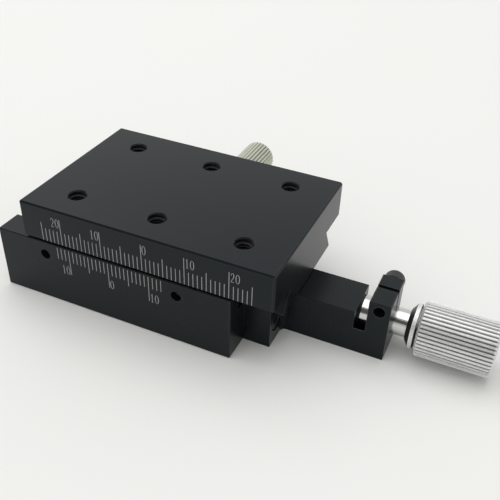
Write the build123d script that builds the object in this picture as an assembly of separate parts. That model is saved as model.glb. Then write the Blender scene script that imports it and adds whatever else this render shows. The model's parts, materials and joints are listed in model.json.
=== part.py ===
"""Single-axis translation stage: a dovetail table driven along its base by a feed screw.

All sizes are in millimetres. X runs along the travel towards the feed knob, Z is up, and the
origin is the centre of the base's bottom face. The table stands off centre, towards the knob.
"""
import math
import os

from build123d import *

# Slide: base, table and the dovetail between them
base_length = 58.0
base_width = 40.0
table_length = 60.0
table_width = 40.0
stage_height = 25.0
plate_thickness = 9.0
table_offset = 8.3            # table centre from base centre, as it stands
dovetail_neck = 22.2          # width where the dovetail leaves the plate
dovetail_depth = 5.0
dovetail_angle = 60.0         # flank to the sliding face, degrees
slide_gap = 0.3               # under the plate
floor_gap = 0.4               # under the dovetail
flank_gap = 0.05              # running gap, square to a flank
edge_break = 0.4
base_edge_break = 0.2

# Gib, pressed against the front flank by two set screws
gib_thickness = 1.8
gib_back_gap = 0.25
gib_end_gap = 1.0
gib_edge_gap = 0.2
gib_screw_pitch = 33.0
side_screw_rise = 1.8         # gib and lock screws, above the floor of the slide
side_screw_recess = 1.5
side_screw_bite = 0.35        # depth of the cone point in the gib

# Screws, named by their nominal thread, with the sizes of their heads and keys
m2 = 2.0
m25 = 2.5
m3 = 3.0
m4 = 4.0
HEAD_RADIUS = {m2: 1.9, m25: 2.25, m3: 2.75}
KEY_WIDTH = {m2: 1.5, m25: 2.0, m3: 2.5}
head_edge = 0.15
thread_gap = 0.03             # round a screw in its tapped hole
clearance = 0.2               # round a screw in a plain hole
head_gap = 0.15               # round a head in its counterbore
tap_runout = 0.5              # tapped hole beyond its screw
drill_point = 118.0           # degrees
drill_tip = 0.01              # radius at the very tip of a drilled hole

# Holes in the table and in the base
table_hole_pitch_x = 20.0
table_hole_pitch_y = 25.0
table_hole_depth = 7.5
table_hole_chamfer = 0.25
mount_edge = 9.0              # base screw centre to the base's end
mount_pitch_y = 22.0
mount_hole = 3.4
mount_counterbore = 6.0
mount_counterbore_depth = 3.6

# Feed screw and its nut
spindle_height = 6.8
spindle_diameter = 6.0
thread_step = 0.1             # the threaded length is turned down by this all round
bearing_gap = 0.05
nut_length = 16.0
nut_width = 8.6               # above its two ledges
nut_floor_gap = 0.6
channel_floor = 2.0           # metal left under the nut's channel
channel_side_gap = 0.15       # beside the heads of the nut's screws
nut_screw_x = 5.0
nut_screw_gap = 0.1           # nut to the shanks beside it, and to their heads
nut_screw_grip = 3.6          # depth of the tapped holes in the dovetail
stop_margin = 1.0             # nut to the base's end at the end of the travel
stop_gap = 0.2
ring_thickness = 0.6
ring_width = 1.4              # between its inner and outer edges
ring_mouth = 3.0
ring_groove_depth = 0.5

# Bracket that carries the feed screw
flange_length = 6.2
flange_width = 26.0
bracket_gap = 0.4             # below the dovetail
bracket_corner = 1.2
bracket_screw_y = 9.2
bracket_counterbore_depth = 3.2
bracket_screw_length = 8.0
arm_front = 6.0               # arm's front face from the spindle axis
arm_rear = 4.5
arm_length = 15.9             # flange to slot
slot_mouth_drop = 0.4         # slot's lip at the front face, below the spindle axis
slot_gap = 0.3
ear_length = 4.7
ear_rise = 3.9                # above the arm
ear_slit = 1.0
ear_screw_drop = 2.1          # clamp screw below the ear's top
ear_screw_length = 8.0

# Thrust collar and its washers, which fill the slot
collar_wall = 0.6
collar_width = 2.0
collar_screw_diameter = 1.4
collar_screw_length = 1.5
collar_screw_recess = 0.15
washer_thickness = 0.25
washer_step = 0.1             # washer inside the collar's rim
thrust_gap = 0.05

# Feed knob
knob_gap = 3.6                # ear to knob
knob_diameter = 12.0
knob_length = 18.0
knob_ring = 1.5               # plain ring next to the ear
knob_ring_bevel = 0.5         # its inner rim
knob_groove = 0.45
knob_groove_depth = 0.9
knob_flutes = 42
knob_flute_depth = 0.42
knob_edge = 0.6
knob_socket = 11.0            # depth of the spindle in the knob
knob_recess_depth = 3.4
knob_screw_length = 8.0

# Lock screw in the rear wall of the base
lock_x = 7.0
lock_pad_length = 1.8
lock_standoff = 0.8           # base to the neck of the lock knob
lock_neck_length = 9.9
lock_neck_diameter = 5.4
lock_knob_diameter = 8.5
lock_knob_length = 14.0
lock_flutes = 30
lock_flute_depth = 0.32
lock_socket = 12.0            # depth of the stud in the knob

# Heights
plate_underside = stage_height - plate_thickness
base_height = plate_underside - slide_gap
dovetail_foot = plate_underside - dovetail_depth
slide_floor = dovetail_foot - floor_gap
side_screw_height = slide_floor + side_screw_rise
arm_height = dovetail_foot - bracket_gap
bracket_screw_height = arm_height / 2
ear_top = arm_height + ear_rise
ear_screw_height = ear_top - ear_screw_drop
nut_bottom = channel_floor + nut_floor_gap
nut_ledge = nut_bottom + m2 + clearance

# Stations along X
base_end = base_length / 2
travel = (base_length - nut_length) / 2 - stop_margin
ring_inner = -(travel + nut_length / 2 + stop_gap)
ring_outer = ring_inner - ring_thickness
spindle_start = ring_outer - stop_gap
flange_end = base_end + flange_length
bracket_screw_seat = flange_end - bracket_counterbore_depth
slot_start = flange_end + arm_length
slot_width = collar_width + 2 * (washer_thickness + thrust_gap)
ear_start = slot_start + slot_width
ear_end = ear_start + ear_length
knob_start = ear_end + knob_gap
knob_end = knob_start + knob_length
spindle_end = knob_start + knob_socket
ear_screw_x = ear_start + ear_length / 2
mount_x = base_end - mount_edge

# Stations across the feed nut
nut_screw_y = nut_width / 2 + nut_screw_gap + m2 / 2
nut_foot_half = nut_screw_y - HEAD_RADIUS[m2] - nut_screw_gap
channel_half = nut_screw_y + HEAD_RADIUS[m2] + channel_side_gap

# Radii and slopes
spindle_radius = spindle_diameter / 2
bore_radius = spindle_radius + bearing_gap
thread_radius = spindle_radius - thread_step
collar_radius = spindle_radius + collar_wall
groove_radius = thread_radius - ring_groove_depth
ring_radius = groove_radius + ring_width
flank_run = 1 / math.tan(math.radians(dovetail_angle))
flank_lean = 1 / math.sin(math.radians(dovetail_angle))
BELOW = (Align.CENTER, Align.CENTER, Align.MAX)
ABOVE = (Align.CENTER, Align.CENTER, Align.MIN)


def rod_x(radius, start, end, y=0.0, z=spindle_height):
    """Cylinder along X, on the spindle axis unless it is told otherwise."""
    return extrude(Plane.YZ.offset(start) * Pos(y, z) * Circle(radius), end - start)


def rod_y(radius, start, end, x, z):
    """Cylinder along Y between two stations."""
    return extrude(Plane((x, start, z), z_dir=(0, 1, 0)) * Circle(radius), end - start)


def block(x_range, y_range, z_range):
    """Box between two planes on each axis."""
    size = [high - low for low, high in (x_range, y_range, z_range)]
    centre = [(high + low) / 2 for low, high in (x_range, y_range, z_range)]
    return Pos(*centre) * Box(*size)


def flank_y(height, offset=0.0):
    """Distance of a dovetail flank from the centre plane, moved out square to itself."""
    return dovetail_neck / 2 + (plate_underside - height) * flank_run + offset * flank_lean


def flanked_bar(low, high, front_offset, rear_offset, start, end):
    """Bar along X between the two dovetail flanks, each moved out by its own offset."""
    outline = Polyline(
        (-flank_y(low, front_offset), low),
        (flank_y(low, rear_offset), low),
        (flank_y(high, rear_offset), high),
        (-flank_y(high, front_offset), high),
        close=True,
    )
    return extrude(Plane.YZ.offset(start) * make_face(outline), end - start)


def grid(pitch_x, pitch_y, centre_x=0.0, columns=2):
    """Points of a two-row pattern of holes."""
    first = -(columns - 1) * pitch_x / 2
    xs = [centre_x + first + i * pitch_x for i in range(columns)]
    return [(x, side * pitch_y / 2) for x in xs for side in (-1, 1)]


def nut_screw_points():
    """Places of the nut's two screws, at opposite corners of the nut."""
    return [(table_offset + side * nut_screw_x, side * nut_screw_y) for side in (-1, 1)]


def cap_screw(size, length):
    """Socket head cap screw with its seat at z = 0 and its head above."""
    head = Cylinder(HEAD_RADIUS[size], size, align=ABOVE)
    head = chamfer(head.edges().group_by(Axis.Z)[-1], head_edge)
    shank = Cylinder(size / 2, length, align=BELOW)
    shank = chamfer(shank.edges().group_by(Axis.Z)[0], head_edge)
    socket = extrude(RegularPolygon(KEY_WIDTH[size] / 2, 6, major_radius=False), size)
    return head + shank - Pos(0, 0, size / 2) * socket


def set_screw(size, length, point):
    """Socket set screw with its outer end at z = 0 and a cone point below."""
    body = Cylinder(size / 2, length - point, align=BELOW)
    tip = Pos(0, 0, point - length) * Cone(size / 2 - point, size / 2, point, align=BELOW)
    socket = extrude(RegularPolygon(size / 4, 6, major_radius=False), -length / 2)
    return body + tip - socket


def fluted_grip(radius, length, flutes, depth, edge):
    """Straight-knurled grip on Z: V flutes with narrow lands, turned down at both ends."""
    pitch = 2 * math.pi / flutes
    outline = []
    for i in range(flutes):
        for turn, reach in ((-0.2, radius), (0.2, radius), (0.5, radius - depth)):
            angle = (i + turn) * pitch
            outline.append((reach * math.cos(angle), reach * math.sin(angle)))
    prism = extrude(make_face(Polyline(*outline, close=True)), length)
    over = radius + 1
    turned = Polyline(
        (0, 0),
        (radius - edge, 0),
        (over, edge + 1),
        (over, length - edge - 1),
        (radius - edge, length),
        (0, length),
        close=True,
    )
    return prism & revolve(Plane.XZ * make_face(turned), Axis.Z)


def drilled(radius, depth):
    """Blind drilled hole below z = 0, with the drill's point at its bottom."""
    point = Cone(drill_tip, radius, radius / math.tan(math.radians(drill_point / 2)), align=BELOW)
    return Cylinder(radius, depth, align=BELOW) + Pos(0, 0, -depth) * point


def table_top():
    """Table plate and its dovetail in one piece, with six tapped holes on top."""
    start = table_offset - table_length / 2
    end = table_offset + table_length / 2
    half = table_width / 2
    plate = block((start, end), (-half, half), (plate_underside, stage_height))
    table = chamfer(plate.edges(), edge_break)
    table += flanked_bar(dovetail_foot, plate_underside + edge_break, 0, 0, start, end)
    countersink = Cone(m4 / 2, m4 / 2 + table_hole_chamfer, table_hole_chamfer, align=BELOW)
    for x, y in grid(table_hole_pitch_x, table_hole_pitch_y, table_offset, columns=3):
        table -= Pos(x, y, stage_height) * (drilled(m4 / 2, table_hole_depth) + countersink)
    for x, y in nut_screw_points():
        hole = Cylinder(m2 / 2 + thread_gap, nut_screw_grip, align=ABOVE)
        table -= Pos(x, y, dovetail_foot) * hole
    return table


def base_body():
    """Base block with the dovetail way, the nut's channel and every hole that it carries."""
    half = base_width / 2
    wall = block((-base_end, base_end), (-half, half), (0, base_height))
    base = chamfer(wall.edges(), base_edge_break)
    front = flank_gap + gib_thickness + gib_back_gap
    base -= flanked_bar(slide_floor, base_height, front, flank_gap, -base_end, base_end)
    base -= block((-base_end, base_end), (-channel_half, channel_half), (channel_floor, base_height))
    mount = Cylinder(mount_hole / 2, slide_floor, align=BELOW)
    mount += Cylinder(mount_counterbore / 2, mount_counterbore_depth, align=BELOW)
    for x, y in grid(2 * mount_x, mount_pitch_y):
        base -= Pos(x, y, slide_floor) * mount
    tapped = m3 / 2 + thread_gap
    gib_tapped = m25 / 2 + thread_gap
    inner = bracket_screw_seat - bracket_screw_length - tap_runout
    for side in (-1, 1):
        base -= rod_y(gib_tapped, -half, 0, side * gib_screw_pitch / 2, side_screw_height)
        base -= rod_x(tapped, inner, base_end, side * bracket_screw_y, bracket_screw_height)
    return base - rod_y(tapped, 0, half, lock_x, side_screw_height)


def gib_screw_tip():
    """Y of the gib screws' points, sunk a little into the back of the gib."""
    return -flank_y(side_screw_height, flank_gap + gib_thickness) + side_screw_bite


def gib_screw_length():
    """Length that carries a gib screw from its recess to the gib."""
    return base_width / 2 - side_screw_recess + gib_screw_tip()


def gib_screws():
    """Two set screws through the front wall, bearing on the gib."""
    screw = set_screw(m25, gib_screw_length(), m25 / 3)
    outer = -base_width / 2 + side_screw_recess
    return [
        Plane((side * gib_screw_pitch / 2, outer, side_screw_height), z_dir=(0, -1, 0)) * screw
        for side in (-1, 1)
    ]


def gib_strip():
    """Sloping strip between the base's front wall and the table's front flank."""
    low, high = slide_floor + gib_edge_gap, base_height - gib_edge_gap
    start, end = gib_end_gap - base_end, base_end - gib_end_gap
    outer = flanked_bar(low, high, flank_gap + gib_thickness, 0, start, end)
    strip = outer - flanked_bar(low, high, flank_gap, 0, start, end)
    dimple = set_screw(m25 + 2 * thread_gap, gib_screw_length() + thread_gap, m25 / 3)
    for side in (-1, 1):
        outer_end = (side * gib_screw_pitch / 2, -base_width / 2 + side_screw_recess, side_screw_height)
        strip -= Plane(outer_end, z_dir=(0, -1, 0)) * dimple
    return strip


def feed_nut():
    """Nut block under the dovetail, bored for the feed screw, with a ledge along each side."""
    start, end = table_offset - nut_length / 2, table_offset + nut_length / 2
    wide, narrow = nut_width / 2, nut_foot_half
    nut = block((start, end), (-wide, wide), (nut_ledge, dovetail_foot))
    nut += block((start, end), (-narrow, narrow), (nut_bottom, nut_ledge))
    nut = chamfer(nut.edges().filter_by(Axis.X).group_by(Axis.Z)[0], edge_break / 2)
    return nut - rod_x(thread_radius + bearing_gap, start, end)


def nut_screws():
    """Two cap screws beside the nut, whose heads clamp its ledges up against the dovetail."""
    screw = cap_screw(m2, dovetail_foot + nut_screw_grip - tap_runout - nut_ledge)
    return [Plane((x, y, nut_ledge), z_dir=(0, 0, -1)) * screw for x, y in nut_screw_points()]


def slot_cut():
    """Slot for the thrust collar, sunk from above by a disc cutter."""
    floor = spindle_height - collar_radius - slot_gap
    rise = spindle_height - slot_mouth_drop - floor
    radius = rise / 2 + arm_front ** 2 / (2 * rise)
    centre = floor + radius
    sides = block((slot_start, ear_start), (-radius, radius), (centre, ear_top + 1))
    return sides + rod_x(radius, slot_start, ear_start, 0, centre)


def bracket_blank():
    """T-shaped bracket with its raised ear, before the bores and slots."""
    half = flange_width / 2
    flange = block((base_end, flange_end), (-half, half), (0, arm_height))
    arm = block((base_end, ear_end), (-arm_front, arm_rear), (0, arm_height))
    tee = flange + arm
    corners = tee.edges().filter_by(Axis.Z).filter_by_position(Axis.X, flange_end, flange_end)
    inner = corners.filter_by_position(Axis.Y, -arm_front, arm_rear)
    tee = fillet(inner, bracket_corner)
    ear = block((ear_start, ear_end), (-arm_front, arm_rear), (0, ear_top))
    top = ear.edges().group_by(Axis.Z)[-1]
    tee = chamfer(tee.edges().group_by(Axis.Z)[-1], edge_break / 2)
    return tee + chamfer(top, edge_break / 2)


def screw_bracket():
    """Bracket bolted to the base's end; its slit ear closes on the spindle."""
    bracket = bracket_blank() - slot_cut() - rod_x(bore_radius, base_end, ear_end)
    bracket -= block((ear_start, ear_end), (-ear_slit / 2, ear_slit / 2), (spindle_height, ear_top))
    bracket -= rod_y(m25 / 2 + thread_gap, -arm_front, 0, ear_screw_x, ear_screw_height)
    bracket -= rod_y(m25 / 2 + clearance, 0, arm_rear, ear_screw_x, ear_screw_height)
    for side in (-1, 1):
        at = (side * bracket_screw_y, bracket_screw_height)
        bracket -= rod_x(m3 / 2 + clearance, base_end, flange_end, *at)
        bracket -= rod_x(HEAD_RADIUS[m3] + head_gap, bracket_screw_seat, flange_end, *at)
    return bracket


def bracket_screws():
    """Two cap screws, sunk in the flange, that hold the bracket to the base."""
    screw = cap_screw(m3, bracket_screw_length)
    return [
        Plane((bracket_screw_seat, side * bracket_screw_y, bracket_screw_height), z_dir=(1, 0, 0)) * screw
        for side in (-1, 1)
    ]


def spindle_clamp_screw():
    """Cap screw across the slit ear, entered from the rear."""
    seat = Plane((ear_screw_x, arm_rear, ear_screw_height), z_dir=(0, 1, 0))
    return seat * cap_screw(m25, ear_screw_length)


def feed_screw():
    """Spindle: threaded through the base, plain in the bracket and in the knob."""
    screw = rod_x(thread_radius, spindle_start, base_end)
    screw += rod_x(spindle_radius, base_end, spindle_end)
    ends = screw.edges().filter_by(GeomType.CIRCLE).group_by(Axis.X)
    screw = chamfer(ends[0] + ends[-1], edge_break / 2)
    groove = rod_x(spindle_radius, ring_outer, ring_inner)
    groove -= rod_x(groove_radius, ring_outer, ring_inner)
    tapped_end = knob_end - knob_recess_depth - knob_screw_length - tap_runout
    screw -= collar_screw_hole(collar_screw_recess + collar_screw_length + thread_gap)
    return screw - groove - rod_x(m3 / 2 + thread_gap, tapped_end, spindle_end)


def retaining_ring():
    """Open ring in a groove at the screw's free end, which stops the nut."""
    start = ring_outer + thread_gap
    end = ring_inner - thread_gap
    ring = rod_x(ring_radius, start, end) - rod_x(groove_radius + thread_gap, start, end)
    mouth = (spindle_height - 2 * ring_radius, spindle_height)
    return ring - block((ring_outer, ring_inner), (-ring_mouth / 2, ring_mouth / 2), mouth)


def collar_screw_hole(depth):
    """Cutter for the collar's set screw, as deep below the collar's rim as it is told."""
    rim = Pos(slot_start + slot_width / 2, 0, spindle_height - collar_radius)
    return rim * Cylinder(collar_screw_diameter / 2 + thread_gap, depth, align=ABOVE)


def thrust_collar():
    """Collar fixed on the spindle inside the slot, which takes the thrust both ways."""
    start = slot_start + thrust_gap + washer_thickness
    blank = rod_x(collar_radius, start, start + collar_width)
    collar = chamfer(blank.edges().filter_by(GeomType.CIRCLE), edge_break / 2)
    collar -= rod_x(spindle_radius + thread_gap / 2, start, start + collar_width)
    return collar - collar_screw_hole(2 * collar_wall)


def collar_set_screw():
    """Set screw through the collar, with its end let into a drilled hole in the spindle."""
    screw = set_screw(collar_screw_diameter, collar_screw_length, collar_screw_diameter / 4)
    outer = spindle_height - collar_radius + collar_screw_recess
    return Plane((slot_start + slot_width / 2, 0, outer), z_dir=(0, 0, -1)) * screw


def thrust_washers():
    """Thin washers between the collar and both walls of the slot."""
    first = slot_start + thrust_gap / 2
    last = ear_start - thrust_gap / 2 - washer_thickness
    return [
        rod_x(collar_radius - washer_step, start, start + washer_thickness)
        - rod_x(bore_radius, start, start + washer_thickness)
        for start in (first, last)
    ]


def knob():
    """Feed knob: plain ring, groove and a straight-knurled grip, recessed for its screw."""
    radius = knob_diameter / 2
    grip_start = knob_start + knob_ring + knob_groove
    grip = fluted_grip(radius, knob_end - grip_start, knob_flutes, knob_flute_depth, knob_edge)
    body = Plane.YZ.offset(grip_start) * Pos(0, spindle_height) * grip
    ring = rod_x(radius, knob_start, knob_start + knob_ring)
    rims = ring.edges().filter_by(GeomType.CIRCLE).group_by(Axis.X)
    ring = chamfer(rims[0], knob_ring_bevel)
    rims = ring.edges().filter_by(GeomType.CIRCLE).group_by(Axis.X)
    body += chamfer(rims[-1], edge_break / 2)
    body += rod_x(radius - knob_groove_depth, knob_start + knob_ring, grip_start)
    body -= rod_x(spindle_radius + thread_gap / 2, knob_start, spindle_end)
    body -= rod_x(m3 / 2 + clearance, spindle_end, knob_end)
    return body - rod_x(HEAD_RADIUS[m3] + head_gap, knob_end - knob_recess_depth, knob_end)


def knob_fixing_screw():
    """Cap screw in the knob's end recess, driven into the spindle."""
    seat = Plane((knob_end - knob_recess_depth, 0, spindle_height), z_dir=(1, 0, 0))
    return seat * cap_screw(m3, knob_screw_length)


def lock_pad_face():
    """Y of the lock pad's flat end, where the stud presses."""
    return flank_y(side_screw_height) + lock_pad_length


def lock_pad():
    """Plug with a sloping face that the lock screw presses on the rear flank."""
    pad = rod_y(m3 / 2, 0, lock_pad_face(), lock_x, side_screw_height)
    low, high = side_screw_height - m3, side_screw_height + m3
    return pad - flanked_bar(low, high, flank_gap, flank_gap, lock_x - m3, lock_x + m3)


def lock_stud():
    """Threaded stud of the lock screw, fixed in its knob."""
    start = lock_pad_face() + stop_gap / 4
    end = base_width / 2 + lock_standoff + lock_socket
    stud = rod_y(m3 / 2, start, end, lock_x, side_screw_height)
    return chamfer(stud.edges().filter_by(GeomType.CIRCLE), m3 / 10)


def lock_knob():
    """Lock knob: a turned neck and a straight-knurled head, drilled for the stud."""
    start = base_width / 2 + lock_standoff
    grip_start = start + lock_neck_length
    neck = rod_y(lock_neck_diameter / 2, start, grip_start + knob_edge, lock_x, side_screw_height)
    neck = chamfer(neck.edges().group_by(Axis.Y)[0], edge_break / 2)
    grip = fluted_grip(lock_knob_diameter / 2, lock_knob_length, lock_flutes, lock_flute_depth, knob_edge)
    head = Plane((lock_x, grip_start, side_screw_height), z_dir=(0, 1, 0)) * grip
    socket = rod_y(m3 / 2, start, start + lock_socket, lock_x, side_screw_height)
    return neck + head - socket


SINGLE_PIECES = (
    base_body, gib_strip, table_top, feed_nut, screw_bracket, spindle_clamp_screw,
    feed_screw, retaining_ring, thrust_collar, collar_set_screw, knob, knob_fixing_screw,
    lock_pad, lock_stud, lock_knob,
)
REPEATED_PIECES = (gib_screws, nut_screws, bracket_screws, thrust_washers)

os.makedirs("parts", exist_ok=True)
for piece in SINGLE_PIECES:
    export_step(piece(), f"parts/{piece.__name__}.step")
for pieces in REPEATED_PIECES:
    export_step(Compound(children=pieces()), f"parts/{pieces.__name__}.step")
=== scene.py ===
"""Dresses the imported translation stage: its finishes, engraved scales, threads, screws and studio.

Every length is in metres in the stage's own frame: X along the travel towards the feed knob,
Z up, and the origin at the centre of the base's bottom face.
"""
import logging
import math
from dataclasses import dataclass, field, replace
from enum import Enum
from typing import Callable, Iterable, Mapping, NamedTuple, Sequence

import bmesh
import bpy
from mathutils import Euler, Matrix, Vector
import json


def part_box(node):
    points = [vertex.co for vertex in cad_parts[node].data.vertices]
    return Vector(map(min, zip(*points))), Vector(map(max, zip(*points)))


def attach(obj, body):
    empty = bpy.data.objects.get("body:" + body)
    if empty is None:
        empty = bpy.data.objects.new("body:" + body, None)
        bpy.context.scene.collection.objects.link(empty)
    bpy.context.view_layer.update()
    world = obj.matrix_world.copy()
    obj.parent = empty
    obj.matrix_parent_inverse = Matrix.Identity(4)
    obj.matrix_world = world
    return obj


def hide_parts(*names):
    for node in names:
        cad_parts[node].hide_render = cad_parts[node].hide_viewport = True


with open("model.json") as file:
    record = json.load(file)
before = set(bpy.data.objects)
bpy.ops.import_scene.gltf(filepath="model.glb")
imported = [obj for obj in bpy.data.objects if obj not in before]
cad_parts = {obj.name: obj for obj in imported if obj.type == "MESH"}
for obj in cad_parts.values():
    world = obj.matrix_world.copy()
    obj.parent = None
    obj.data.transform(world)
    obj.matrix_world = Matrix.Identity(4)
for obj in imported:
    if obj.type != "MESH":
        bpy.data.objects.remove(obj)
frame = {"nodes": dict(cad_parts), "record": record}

LOG = logging.getLogger("translation_stage")
MM = 0.001
TURN = 2 * math.pi
Colour = tuple[float, float, float]
Point = tuple[float, float, float]
Node = bpy.types.Node
Socket = bpy.types.NodeSocket
ALONG_X = Vector((1, 0, 0))
ALONG_Y = Vector((0, 1, 0))
WELD = 1e-8


class Body(Enum):
    """Bodies of the stage that a piece can ride on."""

    BASE = "base"
    TABLE = "table"
    SPINDLE = "spindle"
    LOCK_SCREW = "lock_screw"
    EAR_CLAMP = "ear_clamp"


class Slot(Enum):
    """Material slots of the record, named for the new pieces."""

    ANODISED = "black_anodised"
    BLACK_STEEL = "black_steel"
    GROUND_STEEL = "ground_steel"
    NICKEL_KNURL = "nickel_knurl"


# ---------------------------------------------------------------- node trees


class NodeSheet:
    """A node tree that is being laid out and wired."""

    def __init__(self, tree: bpy.types.NodeTree) -> None:
        """Takes the node tree of a material, a world or a group, and clears it."""
        self.tree = tree
        tree.nodes.clear()

    def add(self, kind: str, **settings: object) -> Node:
        """Adds a node.

        Args:
            kind: The node's type name, such as ShaderNodeBump.
            settings: Properties of the node, and under `inputs` a dict with a plain value or an
                output for each input, by its name or number.

        Returns:
            The new node.
        """
        node = self.tree.nodes.new(kind)
        inputs = settings.pop("inputs", {})
        for name, value in settings.items():
            setattr(node, name, value)
        for socket, value in inputs.items():
            self.feed(value, node.inputs[socket])
        return node

    def link(self, source: Socket, target: Socket) -> None:
        """Wires an output to an input."""
        self.tree.links.new(source, target)

    def maths(self, operation: str, *values: object) -> Socket:
        """Adds a Math node.

        Args:
            operation: The operation's name.
            values: A number or an output socket for each input in order.

        Returns:
            The node's output.
        """
        given = dict(enumerate(values))
        return self.add("ShaderNodeMath", operation=operation, inputs=given).outputs[0]

    def feed(self, value: object, socket: Socket) -> None:
        """Wires an output to an input, or sets the input to a plain value."""
        if isinstance(value, Socket):
            self.link(value, socket)
        else:
            socket.default_value = value

    def ramp(
        self, value: object, low: object, high: object, start: float = 0.0, end: float = 1.0
    ) -> Socket:
        """Maps a value onto a range, with soft ends.

        Args:
            value: The output to map.
            low: The result at start and before it.
            high: The result at end and past it.
            start: The value that gives low.
            end: The value that gives high.

        Returns:
            The mapped value.
        """
        given = {"Value": value, "From Min": start, "From Max": end, "To Min": low, "To Max": high}
        node = self.add("ShaderNodeMapRange", interpolation_type="SMOOTHSTEP", inputs=given)
        return node.outputs["Result"]

    def blend(self, mask: object, first: object, second: object) -> Socket:
        """Mixes two colours.

        Args:
            mask: How much of the second colour shows.
            first: The colour under it.
            second: The colour over it.

        Returns:
            The mixed colour.
        """
        node = self.add("ShaderNodeMix", data_type="RGBA")
        for name, given in (("Factor", mask), ("A", first), ("B", second)):
            value = (*given, 1.0) if isinstance(given, tuple) else given
            socket = next(s for s in node.inputs if s.name == name and s.enabled)
            self.feed(value, socket)
        return next(s for s in node.outputs if s.enabled)

    def noise(self, coordinate: object, size: object, detail: float = 2.0) -> Socket:
        """Adds noise whose features are about a given size.

        Args:
            coordinate: The output with the place on the object, in metres.
            size: The noise's scale, in features per metre.
            detail: How many finer octaves it has.

        Returns:
            The noise's value.
        """
        given = {"Vector": coordinate, "Scale": size, "Detail": detail}
        return self.add("ShaderNodeTexNoise", inputs=given).outputs["Fac"]

    def times(self, first: object, second: object) -> Socket:
        """Multiplies two numbers or outputs."""
        return self.maths("MULTIPLY", first, second)

    def axes(self, vector: Socket) -> Mapping[str, Socket]:
        """Returns a vector's X, Y and Z as outputs by name."""
        return self.add("ShaderNodeSeparateXYZ", inputs={0: vector}).outputs

    def true_normal(self) -> Socket:
        """Gives the way the surface itself faces."""
        return self.add("ShaderNodeNewGeometry").outputs["True Normal"]

    def stretched(self, place: Socket, factors: Point) -> Socket:
        """Scales a place by a factor for each axis, so that what lies on it is drawn out."""
        given = {0: place, 1: factors}
        return self.add("ShaderNodeVectorMath", operation="MULTIPLY", inputs=given).outputs[0]


class Effect(Enum):
    """Surface effects that the finishes share, each one a node group."""

    GRAIN = "fine_grain"
    TURNED = "turned_lines"
    MILLED = "milled_lines"
    SMUDGED = "smudged_patches"
    WORN_EDGES = "worn_edges"
    CREVICES = "dark_crevices"
    DUST = "settled_dust"


class Marks(NamedTuple):
    """What an effect gives at each place: how much of it shows, or its height, or both."""

    mask: Socket | None = None
    height: Socket | None = None


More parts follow.
